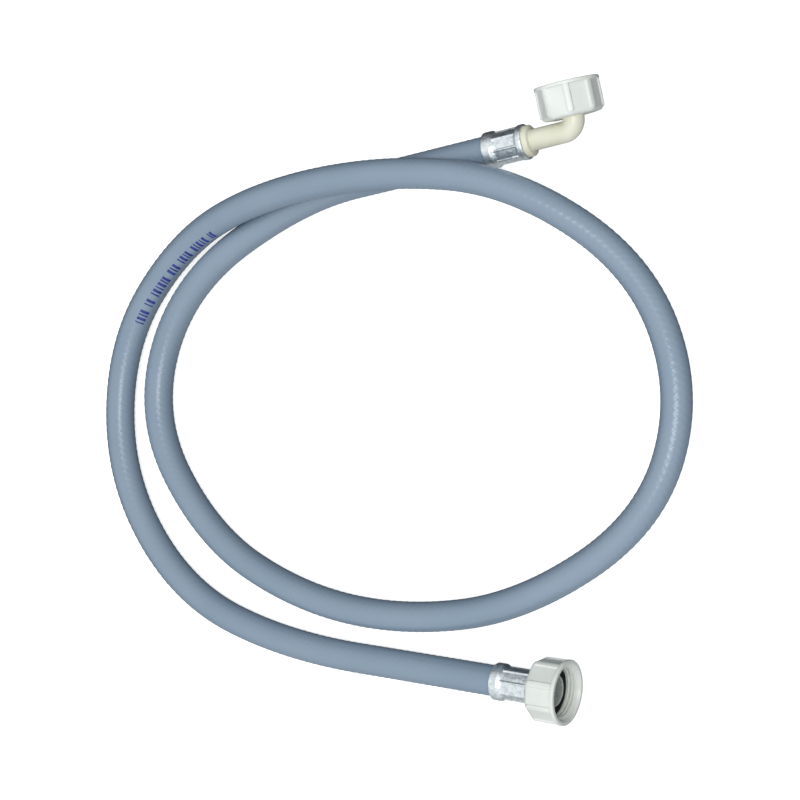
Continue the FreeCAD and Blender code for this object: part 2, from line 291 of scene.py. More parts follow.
def even_normals(obj):
    """Large faces decide the shading next to small roundings."""
    modifier = obj.modifiers.new("even_normals", "WEIGHTED_NORMAL")
    modifier.keep_sharp = True
    return obj


def local_frame(origin, z_axis, x_hint):
    """Matrix with local +Z along z_axis and local +X as near x_hint as it can be."""
    z_axis = Vector(z_axis).normalized()
    y_axis = z_axis.cross(Vector(x_hint)).normalized()
    x_axis = y_axis.cross(z_axis)
    turn = Matrix((x_axis, y_axis, z_axis)).transposed().to_4x4()
    return Matrix.Translation(Vector(origin)) @ turn


def rounded(outline, steps=5):
    """Closed outline of (radius, z, rounding) corners, with each corner as an arc."""
    result = []
    count = len(outline)
    for index, (x, z, rounding) in enumerate(outline):
        corner = Vector((x, z))
        if rounding == 0:
            result.append(tuple(corner))
            continue
        before = Vector(outline[index - 1][:2]) - corner
        after = Vector(outline[(index + 1) % count][:2]) - corner
        half = before.angle(after) / 2
        reach = rounding / math.tan(half)
        reach = min(reach, 0.48 * before.length, 0.48 * after.length)
        radius = reach * math.tan(half)
        start = corner + before.normalized() * reach
        end = corner + after.normalized() * reach
        centre = corner + (before.normalized() + after.normalized()).normalized() * radius / math.sin(half)
        from_angle = math.atan2(start.y - centre.y, start.x - centre.x)
        turn = math.atan2(end.y - centre.y, end.x - centre.x) - from_angle
        turn = (turn + math.pi) % (2 * math.pi) - math.pi
        for step in range(steps + 1):
            angle = from_angle + turn * step / steps
            result.append((centre.x + radius * math.cos(angle), centre.y + radius * math.sin(angle)))
    return result


def divided(outline, longest):
    """Closed outline with more points, so that no side is longer than longest."""
    result = []
    for (x0, z0), (x1, z1) in zip(outline, outline[1:] + outline[:1]):
        parts = max(1, math.ceil(math.hypot(x1 - x0, z1 - z0) / longest))
        for part in range(parts):
            share = part / parts
            result.append((x0 + (x1 - x0) * share, z0 + (z1 - z0) * share))
    return result


def turned(name, outline, matrix, columns=128, shape=None, sharp_angle=50):
    """Ring-shaped solid: a closed outline of (radius, z) turned about Z.

    shape(radius, z, angle) may give each point another radius."""
    outline = np.array(outline)
    angle = np.arange(columns) * 2 * np.pi / columns
    radius = np.repeat(outline[:, :1], columns, axis=1)
    height = np.repeat(outline[:, 1:], columns, axis=1)
    if shape is not None:
        radius = shape(radius, height, angle[None, :])
    points = np.stack([radius * np.cos(angle), radius * np.sin(angle), height], axis=-1)
    faces = grid_faces(len(outline), columns, True, True)
    return even_normals(add_object(name, points.reshape(-1, 3), faces, matrix, sharp_angle))


def smooth_step(value, low, high):
    share = np.clip((value - low) / (high - low), 0, 1)
    return share * share * (3 - 2 * share)


# ---------------------------------------------------------------- hose


def hose_line():
    """Points down the middle of the hose, read from the smooth curve through its route."""
    curve = bpy.data.curves.new("hose_route", "CURVE")
    curve.dimensions = "3D"
    spline = curve.splines.new("NURBS")
    spline.points.add(len(HOSE_ROUTE) - 1)
    for point, place in zip(spline.points, HOSE_ROUTE):
        point.co = (*place, 1)
    spline.order_u = 3
    spline.use_endpoint_u = True
    spline.resolution_u = ROUTE_RESOLUTION
    holder = bpy.data.objects.new("hose_route", curve)
    mesh = bpy.data.meshes.new_from_object(holder)
    line = np.array([vertex.co for vertex in mesh.vertices])
    bpy.data.meshes.remove(mesh)
    bpy.data.curves.remove(curve)
    return line


def evenly_spaced(line, step):
    """The line again with points about step apart, and the distance along it of each."""
    along = np.concatenate([[0], np.cumsum(np.linalg.norm(np.diff(line, axis=0), axis=1))])
    wanted = np.linspace(0, along[-1], round(along[-1] / step) + 1)
    points = np.stack([np.interp(wanted, along, line[:, axis]) for axis in range(3)], axis=1)
    return points, wanted


def ring_axes(points):
    """Two directions across the line at each point: upwards and to its left."""
    tangent = np.gradient(points, axis=0)
    tangent /= np.linalg.norm(tangent, axis=1)[:, None]
    left = np.cross((0, 0, 1), tangent)
    left /= np.linalg.norm(left, axis=1)[:, None]
    return np.cross(tangent, left), left


def hose_surface(points, radius, angle):
    """Points at radius and angle round the line; angle 0 is on top and 90 degrees is left."""
    up, left = ring_axes(points)
    across = up[:, None, :] * np.cos(angle)[..., None] + left[:, None, :] * np.sin(angle)[..., None]
    return points[:, None, :] + across * np.asarray(radius)[..., None]


def hose_tube(name, line, step, inner_step, outer, inner, columns, relief=None):
    """Hollow tube along the line. relief(along, angle) sinks its outer surface.

    A tube with a relief also carries its places, which its material reads."""
    points, along = evenly_spaced(line, step * MM)
    angle = (np.arange(columns) * 2 * np.pi / columns)[None, :]
    radius = np.full((len(points), columns), outer)
    if relief is not None:
        radius -= relief(along[:, None] / MM, angle)
    outside = hose_surface(points, radius * MM, angle)
    inner_points, _ = evenly_spaced(line, inner_step * MM)
    inside = hose_surface(inner_points, np.full((len(inner_points), columns), inner * MM), angle)
    rings = np.concatenate([outside, inside[::-1]])
    faces = grid_faces(len(rings), columns, True, True)
    tube = add_object(name, rings.reshape(-1, 3) / MM, faces)
    if relief is not None:
        mark_places(tube, along, angle[0])
    return tube


def mark_places(tube, along, angle):
    """Store how far along the hose each point of its outside is, and the direction round it."""
    places = np.zeros((len(tube.data.vertices), 3))
    outside = places[: len(along) * len(angle)]
    outside[:, 0] = np.repeat(along, len(angle))
    outside[:, 1] = np.tile(np.cos(angle), len(along))
    outside[:, 2] = np.tile(np.sin(angle), len(along))
    attribute = tube.data.attributes.new("hose_place", "FLOAT_VECTOR", "POINT")
    attribute.data.foreach_set("vector", places.ravel())


def braid_relief(along, angle):
    """Dents between the crossings of the braid under the jacket."""
    waves = np.cos(2 * np.pi * along / RELIEF_PITCH) * np.cos(RELIEF_COUNT * angle)
    return RELIEF_DEPTH * (0.5 - 0.5 * waves)


def crimp_squeeze(along, length):
    """How far the ferrules squeeze the jacket, at distances along the hose."""
    from_end = np.minimum(along, length - along)
    depth = INSERTION - from_end  # inside the ferrule, from its hose side's plane
    before, after = SQUEEZE_LEAD
    share = smooth_step(depth, BELL_LENGTH - before, BELL_LENGTH + after)
    return (HOSE_RADIUS - CRIMP_BORE_RADIUS) * share


def make_hose():
    """Line down the middle of the hose, its length in metres, and the hose's three layers."""
    line = hose_line()
    length = float(np.linalg.norm(np.diff(line, axis=0), axis=1).sum())
    step = RELIEF_PITCH / STEPS_PER_DENT

    def jacket_relief(along, angle):
        return braid_relief(along, angle) + crimp_squeeze(along, length / MM)

    jacket = hose_tube(
        "hose_jacket_tube", line, step, BORE_STEP, HOSE_RADIUS, BRAID_RADII[0],
        RELIEF_COUNT * COLUMNS_PER_DENT, jacket_relief,
    )
    braid = hose_tube("hose_braid_sleeve", line, LAYER_STEP, LAYER_STEP, *BRAID_RADII, LAYER_COLUMNS)
    liner = hose_tube("hose_liner_tube", line, LAYER_STEP, LAYER_STEP, *LINER_RADII, LAYER_COLUMNS)
    return line, length, jacket, braid, liner


def ink_places():
    """Start and width of each ink bar along the hose: wide and narrow bars in uneven groups."""
    place = INK_START
    for group in INK_GROUPS:
        for index in range(group):
            width = INK_BAR_WIDTHS[index % 2]
            yield place, width
            place += width + INK_GAP
        place += INK_GROUP_GAP


def ink_bar(points, middle):
    """Rings of one thin bar on the hose along points, with its middle at an angle round it."""
    half = INK_HEIGHT / HOSE_RADIUS / 2
    angle = (middle + np.linspace(-half, half, INK_COLUMNS))[None, :]
    shape = (len(points), INK_COLUMNS)
    top = hose_surface(points, np.full(shape, (HOSE_RADIUS + INK_OUT) * MM), angle)
    under = hose_surface(points, np.full(shape, (HOSE_RADIUS - INK_IN) * MM), angle)
    return np.concatenate([top[1:-1], under[1:-1, ::-1]], axis=1)


def make_ink_marks(line):
    """Plain bars of blue ink along the outer turn of the hose."""
    points, along = evenly_spaced(line, INK_STEP * MM)
    places = list(ink_places())
    middles = np.radians(np.linspace(*INK_ANGLES, len(places)))
    all_points, all_faces = [], []
    base = 0
    for (place, width), middle in zip(places, middles):
        start = int(np.searchsorted(along, place * MM))
        bar = ink_bar(points[start - 1 : start + round(width / INK_STEP) + 2], middle)
        rows, columns = bar.shape[:2]
        all_points.append(bar.reshape(-1, 3) / MM)
        faces = grid_faces(rows, columns, False, True).tolist()
        faces += [list(range(columns)), list(range((rows - 1) * columns, rows * columns))]
        all_faces += [[corner + base for corner in face] for face in faces]
        base += rows * columns
    return add_object("hose_ink_marks", np.concatenate(all_points), all_faces, sharp_angle=40)


# ---------------------------------------------------------------- ferrules and tails


def crimped(radius, height, angle, ring_start):
    """Ferrule's outside with flat crimp panels between narrow ridges."""
    sector = 2 * np.pi / CRIMP_COUNT
    off_centre = (angle + sector / 2) % sector - sector / 2
    lateral = FERRULE_RADIUS * np.abs(off_centre)
    half_panel = (FERRULE_RADIUS * sector - RIDGE_WIDTH) / 2
    across = 1 - smooth_step(lateral, half_panel - RIDGE_SIDE[0], half_panel + RIDGE_SIDE[1])
    start = BELL_LENGTH + CRIMP_INSET
    end = ring_start - CRIMP_RING_GAP
    rise = smooth_step(height, end - CRIMP_SLOPE, end)
    along = smooth_step(height, start, start + CRIMP_SLOPE) * (1 - rise)
    panel = CRIMP_RADIUS / np.sqrt(np.cos(off_centre))
    outside = radius > CRIMP_RADIUS
    pressed = radius + (np.minimum(radius, panel) - radius) * across * along
    return np.where(outside, pressed, radius)


def make_ferrule(name, matrix, ring_length):
    ring_start = FERRULE_LENGTH - ring_length
    outline = rounded([
        (BELL_BORE_RADIUS, BELL_START + 0.2, 0.2),
        (BELL_BORE_RADIUS + 0.2, BELL_START, 0.1),
        (BELL_RADIUS, BELL_START + 0.2, 1.1),
        (BELL_RADIUS, BELL_LENGTH, 0.7),
        (FERRULE_RADIUS, BELL_LENGTH + 1.2, 0.6),
        (FERRULE_RADIUS, ring_start - 0.3, 0.3),
        (END_RING_RADIUS, ring_start + 0.2, 0.4),
        (END_RING_RADIUS, FERRULE_LENGTH, 0.7),
        (LIP_BORE_RADIUS, FERRULE_LENGTH, 0.2),
        (LIP_BORE_RADIUS, INSERTION, 0),
        (CRIMP_BORE_RADIUS, INSERTION, 0),
        (CRIMP_BORE_RADIUS, BELL_LENGTH + 0.6, 0.4),
        (BELL_BORE_RADIUS, BELL_LENGTH - 1.6, 0.4),
    ])
    shape = functools.partial(crimped, ring_start=ring_start)
    return turned(name, divided(outline, FERRULE_STEP), matrix, FERRULE_COLUMNS, shape, 60)


def stem_outline():
    """Outside of a tail from the stem's tip to the ferrule's outer end."""
    bore = LINER_RADII[1]
    outline = [(STEM_BORE_RADIUS, STEM_START, 0.1), (bore - BARB_HEIGHT, STEM_START, 0.2)]
    for index in range(BARB_COUNT):
        barb_end = STEM_START + (index + 1) * BARB_PITCH
        outline.append((bore + BARB_HEIGHT, barb_end - BARB_HEIGHT, 0.1))
        outline.append((bore - BARB_HEIGHT, barb_end, 0.1))
    outline.append((bore - BARB_HEIGHT, INSERTION, 0))
    outline.append((LIP_BORE_RADIUS, INSERTION, 0))
    outline.append((LIP_BORE_RADIUS, FERRULE_LENGTH, 0))
    return outline


def make_straight_tail(matrix, nut_start):
    flange_start = nut_start + WEB_THICKNESS + NUT_CLEARANCE
    flange_end = flange_start + FLANGE_THICKNESS
    outline = rounded(stem_outline() + [
        (COLLAR_RADIUS, FERRULE_LENGTH, 0.5),
        (SPIGOT_RADIUS, flange_start, 0),
        (FLANGE_RADIUS, flange_start, 0.3),
        (FLANGE_RADIUS, flange_end, 0.3),
        (STRAINER_SEAT_RADIUS, flange_end, 0.2),
        (STRAINER_SEAT_RADIUS, flange_end - STRAINER_SEAT_DEPTH, 0),
        (STEM_BORE_RADIUS, flange_end - STRAINER_SEAT_DEPTH, 0.2),
    ])
    return turned("straight_tail_moulded", outline, matrix)


def elbow_path(distance):
    """Centre and direction at a distance along the elbow from the ferrule's hose side."""
    bend_start = ELBOW_CORNER - ELBOW_BEND_RADIUS
    bend_length = ELBOW_BEND_RADIUS * math.pi / 2
    if distance <= bend_start:
        return (0.0, distance), 0.0
    if distance >= bend_start + bend_length:
        return (ELBOW_BEND_RADIUS + distance - bend_start - bend_length, ELBOW_CORNER), math.pi / 2
    turn = (distance - bend_start) / ELBOW_BEND_RADIUS
    x = ELBOW_BEND_RADIUS * (1 - math.cos(turn))
    return (x, bend_start + ELBOW_BEND_RADIUS * math.sin(turn)), turn


def make_elbow_tail(matrix):
    """Barbed stem and collar along +Z, bend, spigot and flange along +X, as one moulding."""
    straightened = ELBOW_BEND_RADIUS * (math.pi / 2 - 2)  # bend's length less its two tangents
    riser = ELBOW_CORNER + straightened
    flange_start = riser + ELBOW_RISE + WEB_THICKNESS + NUT_CLEARANCE
    flange_end = flange_start + FLANGE_THICKNESS
    outline = rounded(stem_outline() + [
        (COLLAR_RADIUS, FERRULE_LENGTH, 0.3),
        (COLLAR_RADIUS, FERRULE_LENGTH + ELBOW_COLLAR_LENGTH, 0.9),
        (ELBOW_TUBE_RADIUS, FERRULE_LENGTH + ELBOW_COLLAR_LENGTH, 0.5),
        (ELBOW_TUBE_RADIUS, riser + ELBOW_RISE, 0.3),
        (SPIGOT_RADIUS, riser + ELBOW_RISE, 0.2),
        (SPIGOT_RADIUS, flange_start, 0),
        (FLANGE_RADIUS, flange_start, 0.3),
        (FLANGE_RADIUS, flange_end, 0.3),
        (STEM_BORE_RADIUS, flange_end, 0.3),
    ])
    angle = np.arange(ELBOW_COLUMNS) * 2 * np.pi / ELBOW_COLUMNS
    rows = []
    for radius, distance in divided(outline, ELBOW_STEP):
        (x, z), turn = elbow_path(distance)
        across = radius * np.cos(angle)
        rows.append(np.stack([
            x + across * math.cos(turn),
            radius * np.sin(angle),
            z - across * math.sin(turn),
        ], axis=-1))
    points = np.concatenate(rows)
    faces = grid_faces(len(rows), ELBOW_COLUMNS, True, True)
    return even_normals(add_object("elbow_tail_moulded", points, faces, matrix))


# ---------------------------------------------------------------- nuts, washers and strainer


def nut_outer_radius(angle, height):
    """Outside of the nut: flat panels, ribs with round ends, a rim and rounded ends."""
    sector = 2 * np.pi / NUT_SIDES
    from_rib = (angle + sector / 2) % sector - sector / 2
    from_panel = angle % sector - sector / 2
    panel = np.minimum(NUT_FLAT / np.cos(from_panel), NUT_CORNER_RADIUS)
    lateral = RIB_REACH * np.sin(from_rib)
    below_end = np.maximum(RIB_START + RIB_HALF_WIDTH - height, 0)
    distance = np.hypot(lateral, below_end)
    rib = RIB_REACH - RIB_CROWN * (distance / RIB_HALF_WIDTH) ** 2
    crown = 1 - smooth_step(distance, RIB_HALF_WIDTH - 0.3, RIB_HALF_WIDTH + 0.1)
    radius = panel + (rib - panel) * crown
    rim_start = NUT_HEIGHT - RIM_HEIGHT
    radius += (NUT_RADIUS - radius) * smooth_step(height, rim_start - 0.35, rim_start + 0.15)
    low = np.clip(NUT_EDGE_ROUND - height, 0, NUT_EDGE_ROUND)
    radius -= NUT_EDGE_ROUND - np.sqrt(NUT_EDGE_ROUND ** 2 - low ** 2)
    high = np.clip(height - (NUT_HEIGHT - RIM_ROUND), 0, RIM_ROUND)
    radius -= RIM_ROUND - np.sqrt(RIM_ROUND ** 2 - high ** 2)
    return radius


def thread_radius(angle, height):
    """Helical G 3/4 thread with rounded crests and roots, which fades out at both ends."""
    phase = (height / THREAD_PITCH - angle / (2 * np.pi)) % 1
    ridge = np.abs(2 * phase - 1)
    root = smooth_step(ridge, 0.3, 0.95)
    low, high = THREAD_SPAN
    depth = smooth_step(height, low, low + 0.3) * (1 - smooth_step(height, high - 0.6, high))
    lead_in = smooth_step(height, high - 0.9, high)
    mouth = THREAD_MINOR + (MOUTH_RADIUS - 0.6 - THREAD_MINOR) * lead_in
    cut = THREAD_MINOR + (THREAD_MAJOR - THREAD_MINOR) * root * depth
    return np.maximum(mouth, cut)


def nut_angles():
    """Angles round the nut, closer together on the sides of the ribs."""
    sector = 360 / NUT_SIDES
    mirrored = [sector - value for value in RIB_ANGLES[-2:0:-1]]
    degrees = [index * sector + value for index in range(NUT_SIDES) for value in (*RIB_ANGLES, *mirrored)]
    return np.radians(degrees)


def nut_outside_heights():
    """Heights of the rings up the nut's outside, close together on both rounded edges."""
    arc = np.linspace(0, np.pi / 2, 9)
    return np.concatenate([
        NUT_EDGE_ROUND * (1 - np.cos(arc)),
        np.arange(NUT_EDGE_ROUND + NUT_RING_STEP, NUT_HEIGHT - RIM_ROUND - 0.05, NUT_RING_STEP),
        NUT_HEIGHT - RIM_ROUND * (1 - np.sin(arc)),
    ])


def make_nut(name, matrix):
    """Nut as one closed grid of rings: closed face, outside, mouth, thread, chamber and web."""
    angle = nut_angles()
    ones = np.ones_like(angle)
    rows = []

    def ring(radius, height):
        rows.append((radius * ones, height * ones))

    bevel = WEB_HOLE_BEVEL
    ring(WEB_HOLE_RADIUS + bevel, 0.0)
    ring(WEB_FACE_RADIUS, 0.0)
    for height in nut_outside_heights():
        ring(nut_outer_radius(angle, height * ones), height)
    ring(MOUTH_RADIUS + 0.35, NUT_HEIGHT)
    ring(MOUTH_RADIUS + 0.12, NUT_HEIGHT - 0.08)
    ring(MOUTH_RADIUS, NUT_HEIGHT - 0.3)
    ring(MOUTH_RADIUS - 0.3, NUT_HEIGHT - 1.1)
    for height in np.arange(THREAD_SPAN[1] + 0.3, THREAD_SPAN[0], -THREAD_PITCH / THREAD_STEPS):
        ring(thread_radius(angle, height * ones), height)
    ring(CHAMBER_RADIUS, THREAD_SPAN[0] - 0.5)
    ring(CHAMBER_RADIUS, WEB_THICKNESS + bevel)
    ring(CHAMBER_RADIUS - bevel, WEB_THICKNESS)
    ring(WEB_HOLE_RADIUS + bevel, WEB_THICKNESS)
    ring(WEB_HOLE_RADIUS, WEB_THICKNESS - bevel)
    ring(WEB_HOLE_RADIUS, bevel)
    radius, height = np.array(rows).transpose(1, 0, 2)
    points = np.stack([radius * np.cos(angle), radius * np.sin(angle), height], axis=-1)
    faces = grid_faces(len(rows), len(angle), True, True)
    return add_object(name, points.reshape(-1, 3), faces, matrix, 55)


def seat_height():
    """From a nut's closed face to the flange's face, where the washer starts."""
    return WEB_THICKNESS + NUT_CLEARANCE + FLANGE_THICKNESS


def make_washer(name, matrix):
    start = seat_height()
    outline = rounded([
        (WASHER_BORE_RADIUS, start, 0.25),
        (WASHER_RADIUS, start, 0.35),
        (WASHER_RADIUS, start + WASHER_THICKNESS, 0.45),
        (WASHER_BORE_RADIUS, start + WASHER_THICKNESS, 0.35),
    ])
    return turned(name, outline, matrix)


def make_strainer_ring(matrix):
    start = seat_height()
    top = start + STRAINER_RING_HEIGHT
    outline = rounded([
        (STRAINER_RING_BORE, start, 0.1),
        (STRAINER_RADIUS, start, 0.15),
        (STRAINER_RADIUS, top, 0.35),
        (STRAINER_RING_BORE, top, 0.2),
    ])
    return turned("strainer_rim_ring", outline, matrix)


def strainer_wire(index, family):
    """Rings of one wire of the dish; the two families cross, and pass over and under."""
    edge = STRAINER_RING_BORE + MESH_OVERLAP
    top = seat_height() + STRAINER_RING_HEIGHT - MESH_DROP
    offset = index * WIRE_PITCH
    reach = math.sqrt(edge ** 2 - offset ** 2)
    steps = max(4, round(WIRE_STEPS * reach / WIRE_PITCH))
    along = np.linspace(-reach, reach, steps + 1)
    dish = top - MESH_DEPTH * (1 - (along ** 2 + offset ** 2) / edge ** 2)
    weave = np.cos(np.pi * along / WIRE_PITCH) * (-1) ** (index + family)
    height = dish + weave * WIRE_THICKNESS * WEAVE_SHARE
    turn = np.arange(WIRE_SIDES) * 2 * np.pi / WIRE_SIDES
    line, turn = np.meshgrid(along, turn, indexing="ij")
    side = offset + WIRE_THICKNESS / 2 * np.cos(turn)
    level = height[:, None] + WIRE_THICKNESS / 2 * np.sin(turn)
    columns = (line, side, level) if family == 0 else (side, line, level)
    return np.stack(columns, axis=-1)


def make_strainer_mesh(matrix):
    """Woven wire dish of two crossed families of wires."""
    half_count = int((STRAINER_RING_BORE + MESH_OVERLAP) / WIRE_PITCH)
    all_points, all_faces = [], []
    base = 0
    for family in range(2):
        for index in range(-half_count, half_count + 1):
            wire = strainer_wire(index, family)
            rows, columns = wire.shape[:2]
            all_points.append(wire.reshape(-1, 3))
            all_faces += (grid_faces(rows, columns, False, True) + base).tolist()
            all_faces.append(list(range(base, base + columns)))
            all_faces.append(list(range(base + (rows - 1) * columns, base + rows * columns)))
            base += rows * columns
    return add_object("strainer_wire_mesh", np.concatenate(all_points), all_faces, matrix, 65)


# ---------------------------------------------------------------- materials


def new_material(name, color, roughness, metallic=0.0):
    material = bpy.data.materials.new(name)
    material.use_nodes = True
    shader = material.node_tree.nodes["Principled BSDF"]
    shader.inputs["Base Color"].default_value = (*color, 1)
    shader.inputs["Roughness"].default_value = roughness
    shader.inputs["Metallic"].default_value = metallic
    return material, shader


def add_noise(material, scale, detail=4.0, distortion=0.0):
    nodes, links = material.node_tree.nodes, material.node_tree.links
    place = nodes.new("ShaderNodeTexCoord")
    noise = nodes.new("ShaderNodeTexNoise")
    noise.inputs["Scale"].default_value = scale
    noise.inputs["Detail"].default_value = detail
    noise.inputs["Distortion"].default_value = distortion
    links.new(place.outputs["Object"], noise.inputs["Vector"])
    return noise


def vary_color(material, shader, noise, low, high, share=(0.35, 0.65)):
    """Colour that drifts between low and high with the noise."""
    nodes, links = material.node_tree.nodes, material.node_tree.links
    ramp = nodes.new("ShaderNodeValToRGB")
    ramp.color_ramp.elements[0].position = share[0]
    ramp.color_ramp.elements[1].position = share[1]
    ramp.color_ramp.elements[0].color = (*low, 1)
    ramp.color_ramp.elements[1].color = (*high, 1)
    links.new(noise.outputs["Fac"], ramp.inputs["Fac"])
    links.new(ramp.outputs["Color"], shader.inputs["Base Color"])


def vary_roughness(material, shader, noise, low, high):
    nodes, links = material.node_tree.nodes, material.node_tree.links
    span = nodes.new("ShaderNodeMapRange")
    span.inputs["To Min"].default_value = low
    span.inputs["To Max"].default_value = high
    links.new(noise.outputs["Fac"], span.inputs["Value"])
    links.new(span.outputs["Result"], shader.inputs["Roughness"])


def add_bump(material, shader, height, strength, distance):
    nodes, links = material.node_tree.nodes, material.node_tree.links
    bump = nodes.new("ShaderNodeBump")
    bump.inputs["Strength"].default_value = strength
    bump.inputs["Distance"].default_value = distance
    links.new(height, bump.inputs["Height"])
    links.new(bump.outputs["Normal"], shader.inputs["Normal"])


def add_math(material, operation, first, second=0.0):
    """Math node of one or two inputs, each a socket or a number."""
    node = material.node_tree.nodes.new("ShaderNodeMath")
    node.operation = operation
    for socket, value in zip(node.inputs, (first, second)):
        if isinstance(value, bpy.types.NodeSocket):
            material.node_tree.links.new(value, socket)
        else:
            socket.default_value = value
    return node.outputs[0]


def yarn_lattice(material):
    """Height of the diamond lattice, from the places that the hose's points carry."""
    nodes, links = material.node_tree.nodes, material.node_tree.links
    place = nodes.new("ShaderNodeAttribute")
    place.attribute_name = "hose_place"
    parts = nodes.new("ShaderNodeSeparateXYZ")
    links.new(place.outputs["Vector"], parts.inputs[0])
    turn = add_math(material, "ARCTAN2", parts.outputs["Z"], parts.outputs["Y"])
    round_wave = add_math(material, "COSINE", add_math(material, "MULTIPLY", turn, YARN_COUNT))
    phase = add_math(material, "MULTIPLY", parts.outputs["X"], 2 * math.pi / (YARN_PITCH * MM))
    along_wave = add_math(material, "COSINE", phase)
    return add_math(material, "MULTIPLY", round_wave, along_wave)


def jacket_material():
    material, shader = new_material("jacket_pvc", (0.225, 0.293, 0.371), roughness=0.4)
    drift = add_noise(material, scale=18, detail=3)
    vary_color(material, shader, drift, *JACKET_COLORS)
    grain = add_noise(material, scale=900, detail=3)
    vary_roughness(material, shader, grain, 0.25, 0.33)
    yarns = add_math(material, "MULTIPLY", yarn_lattice(material), YARN_HEIGHT)
    grains = add_math(material, "MULTIPLY", grain.outputs["Fac"], GRAIN_HEIGHT)
    height = add_math(material, "ADD", yarns, grains)
    add_bump(material, shader, height, strength=1.0, distance=MM)
    return material


def braid_material():
    material, shader = new_material("braid_polyester", (0.62, 0.62, 0.58), roughness=0.7)
    noise = add_noise(material, scale=700, detail=2)
    vary_color(material, shader, noise, *BRAID_COLORS)
    add_bump(material, shader, noise.outputs["Fac"], strength=0.6, distance=0.0004)
    return material


def rubber_material(name, color):
    """Rubber whose colour drifts a little darker and lighter."""
    material, shader = new_material(name, color, roughness=0.6)
    shader.inputs["Specular IOR Level"].default_value = 0.2
    noise = add_noise(material, scale=600, detail=4)
    vary_color(material, shader, noise, tuple(c * 0.7 for c in color), tuple(c * 1.5 for c in color))
    add_bump(material, shader, noise.outputs["Fac"], strength=0.3, distance=0.0002)
    return material


def ink_material():
    material, shader = new_material("blue_ink", (0.02, 0.03, 0.22), roughness=0.5)
    noise = add_noise(material, scale=500, detail=3)
    vary_color(material, shader, noise, *INK_COLORS)
    return material


def zinc_material():
    """Mottled zinc plating with a finely rippled surface."""
    material, shader = new_material("zinc_plate", (0.8, 0.84, 0.87), roughness=0.35, metallic=1.0)
    spangle = add_noise(material, scale=520, detail=6, distortion=0.8)
    vary_color(material, shader, spangle, *ZINC_COLORS, share=(0.36, 0.6))
    vary_roughness(material, shader, spangle, 0.34, 0.48)
    fine = add_noise(material, scale=420, detail=6)
    add_bump(material, shader, fine.outputs["Fac"], strength=0.5, distance=0.0006)
    return material


def plastic_material(name, colors, roughness):
    material, shader = new_material(name, colors[1], roughness)
    drift = add_noise(material, scale=60, detail=3)
    vary_color(material, shader, drift, *colors)
    grain = add_noise(material, scale=500, detail=4)
    vary_roughness(material, shader, grain, roughness - 0.06, roughness + 0.08)
    add_bump(material, shader, grain.outputs["Fac"], strength=0.12, distance=0.0002)
    return material


# ---------------------------------------------------------------- stage


def pale_stage(name, points, faces, material):
    """Part of the stage that the camera sees and that throws no light on the hose."""
    mesh = bpy.data.meshes.new(name)
    mesh.from_pydata(points, [], faces)
    mesh.materials.append(material)
    piece = bpy.data.objects.new(name, mesh)
    bpy.context.scene.collection.objects.link(piece)
    piece.visible_diffuse = False
    piece.visible_glossy = False
    return piece


def make_stage():
    """Pale floor, and pale walls far off so that low views have no dark horizon."""
    material, shader = new_material("pale_floor", FLOOR_COLOR, roughness=0.9)
    shader.inputs["Emission Color"].default_value = (1, 1, 1, 1)
    shader.inputs["Emission Strength"].default_value = STAGE_GLOW
    half = STAGE_WIDTH / 2
    corners = [(-half, -half), (half, -half), (half, half), (-half, half)]
    low = [(x, y, FLOOR_LEVEL) for x, y in corners]
    high = [(x, y, WALL_HEIGHT) for x, y in corners]
    pale_stage("floor", low, [(0, 1, 2, 3)], material)
    sides = [(k, (k + 1) % 4, (k + 1) % 4 + 4, k + 4) for k in range(4)]
    walls = pale_stage("walls", low + high, sides, material)
    walls.visible_shadow = False


def add_area_light(name, place, target, size, energy):
    data = bpy.data.lights.new(name, "AREA")
    data.shape = "RECTANGLE"
    data.size, data.size_y = size
    data.energy = energy
    light = bpy.data.objects.new(name, data)
    bpy.context.scene.collection.objects.link(light)
    place, target = Vector(place), Vector(target)
    turn = (target - place).to_track_quat("-Z", "Y").to_matrix().to_4x4()
    light.matrix_world = Matrix.Translation(place) @ turn


def sky_lobe(tree, direction, lean, stops):
    """Colour that depends on how near a direction is to lean; stops are (share, colour)."""
    facing = tree.nodes.new("ShaderNodeVectorMath")
    facing.operation = "DOT_PRODUCT"
    facing.inputs[1].default_value = lean
    tree.links.new(direction, facing.inputs[0])
    ramp = tree.nodes.new("ShaderNodeValToRGB")
    ramp.color_ramp.interpolation = "EASE"
    elements = ramp.color_ramp.elements
    while len(elements) < len(stops):
        elements.new(1.0)
    for element, (share, color) in zip(elements, stops):
        element.position = share
        element.color = (*color, 1)
    tree.links.new(facing.outputs["Value"], ramp.inputs["Fac"])
    return ramp.outputs["Color"]


def make_sky():
    """Soft dome: brightest overhead, dark below the floor but for a bounce in front."""
    world = bpy.data.worlds.new("studio")
    bpy.context.scene.world = world
    world.use_nodes = True
    tree = world.node_tree
    direction = tree.nodes.new("ShaderNodeTexCoord").outputs["Generated"]
    overhead = sky_lobe(tree, direction, SKY_LEAN, SKY_STOPS)
    bounce = sky_lobe(tree, direction, BOUNCE_LEAN, BOUNCE_STOPS)
    both = tree.nodes.new("ShaderNodeVectorMath")
    tree.links.new(overhead, both.inputs[0])
    tree.links.new(bounce, both.inputs[1])
    background = tree.nodes["Background"]
    tree.links.new(both.outputs["Vector"], background.inputs["Color"])
    background.inputs["Strength"].default_value = SKY_STRENGTH


def make_lights():
    make_sky()
    add_area_light("key_strip", STRIP_PLACE, STRIP_TARGET, STRIP_SIZE, STRIP_POWER)
    view = bpy.context.scene.view_settings
    view.view_transform = "Standard"
    view.look = "None"


# ---------------------------------------------------------------- assembly


